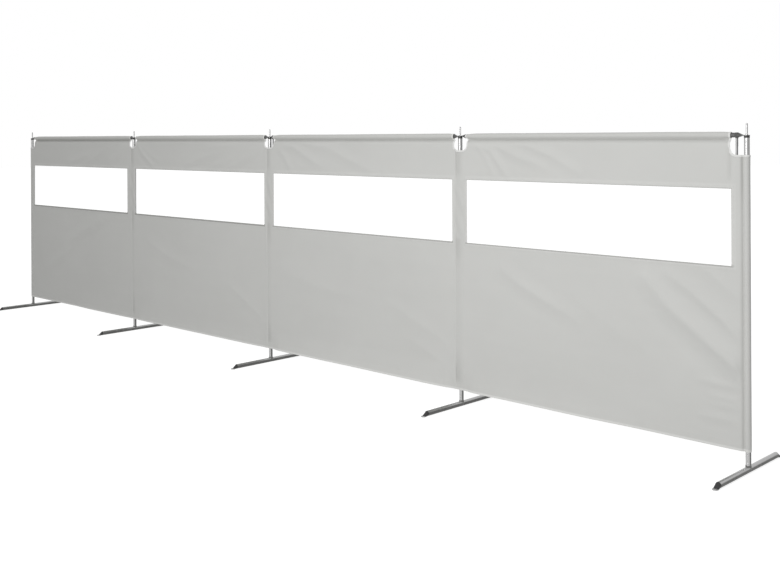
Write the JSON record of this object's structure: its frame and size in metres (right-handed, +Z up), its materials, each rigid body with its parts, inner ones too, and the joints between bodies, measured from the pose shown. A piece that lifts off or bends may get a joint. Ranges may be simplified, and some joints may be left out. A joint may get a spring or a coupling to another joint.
{
  "type": "free-standing windbreak with clear windows",
  "caption": "Free-standing cloth windbreak: bays with clear windows hang from top rails between steel posts on T feet, and swing about the posts.",
  "frame": {"origin": "on the ground under the axis of the middle post", "axes": "+X along the run of bays, -Y out of the front of the cloth, +Z up"},
  "size_m": [6.0268, 0.592, 1.4],
  "materials": {
    "steel": "bright plated tube",
    "black_plastic": "satin",
    "cloth": "coated plain weave",
    "webbing": "woven tape",
    "clear_film": "clear film"
  },
  "bodies": {
    "bay_1": {"post_1": "steel", "post_cap_1": "black_plastic", "foot_1": "steel", "foot_plugs_1": "black_plastic", "post_pocket_1": "cloth", "top_rail_1": "steel", "upper_band_1": "cloth", "window_1": "clear_film", "lower_panel_1": "cloth"},
    "bay_2": {"post_2": "steel", "post_cap_2": "black_plastic", "foot_2": "steel", "foot_plugs_2": "black_plastic", "post_pocket_2": "cloth", "post_3": "steel", "post_cap_3": "black_plastic", "foot_3": "steel", "foot_plugs_3": "black_plastic", "post_pocket_3": "cloth", "top_rail_2": "steel", "upper_band_2": "cloth", "window_2": "clear_film", "lower_panel_2": "cloth"},
    "bay_3": {"post_4": "steel", "post_cap_4": "black_plastic", "foot_4": "steel", "foot_plugs_4": "black_plastic", "post_pocket_4": "cloth", "top_rail_3": "steel", "upper_band_3": "cloth", "window_3": "clear_film", "lower_panel_3": "cloth", "rail_strap_3": "webbing"},
    "bay_4": {"post_5": "steel", "post_cap_5": "black_plastic", "foot_5": "steel", "foot_plugs_5": "black_plastic", "post_pocket_5": "cloth", "top_rail_4": "steel", "upper_band_4": "cloth", "window_4": "clear_film", "lower_panel_4": "cloth", "rail_strap_5": "webbing"}
  },
  "joints": [
    {"name": "corner_2", "type": "hinge", "parent": "bay_2", "child": "bay_1", "pos_m": [-1.5, 0, 1.352], "axis": [0, 0, 1], "range_deg": [-80, 80]},
    {"name": "corner_3", "type": "hinge", "parent": "bay_2", "child": "bay_3", "pos_m": [0, 0, 1.352], "axis": [0, 0, 1], "range_deg": [-80, 80]},
    {"name": "corner_4", "type": "hinge", "parent": "bay_3", "child": "bay_4", "pos_m": [1.5, 0, 1.352], "axis": [0, 0, -1], "range_deg": [-80, 80]}
  ]
}
